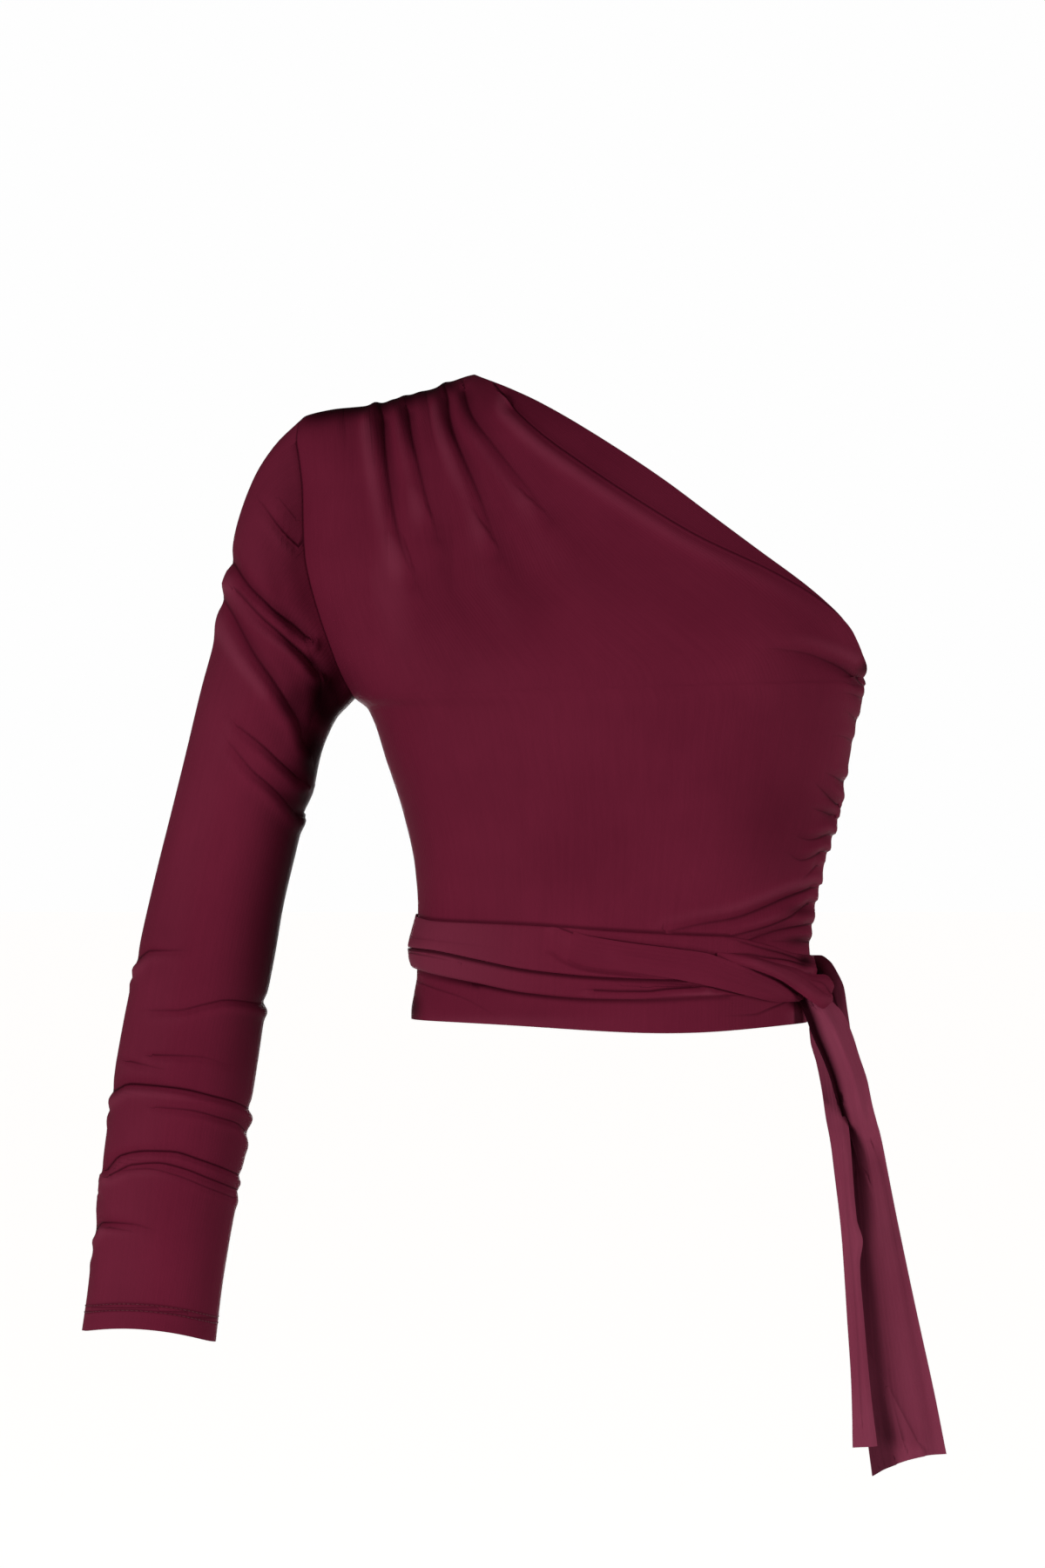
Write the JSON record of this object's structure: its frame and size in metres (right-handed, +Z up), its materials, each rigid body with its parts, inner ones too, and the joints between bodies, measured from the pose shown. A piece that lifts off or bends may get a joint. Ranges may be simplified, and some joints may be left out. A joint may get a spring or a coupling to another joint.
{
  "type": "one-shoulder blouse with wrapped sash",
  "caption": "Worn-form jersey blouse with one long sleeve, a slanted neckline, shoulder gathers, side ruching and a sash wrapped twice round the waist and knotted at the side.",
  "frame": {"origin": "middle of the wearer's right shoulder seam, where a shoulder or a hanger holds the blouse", "axes": "+X towards the wearer's left, -Y towards the wearer's front, +Z up"},
  "size_m": [0.5426, 0.2201, 0.6926],
  "materials": {
    "jersey": "matt stretch jersey with a soft sheen, burgundy"
  },
  "bodies": {
    "root": {"front_panel": "jersey", "back_panel": "jersey", "sleeve": "jersey", "sash_upper_wrap": "jersey", "sash_lower_wrap": "jersey", "sash_front_strand": "jersey", "sash_knot": "jersey", "sash_tail_front": "jersey", "sash_tail_back": "jersey"}
  },
  "joints": []
}
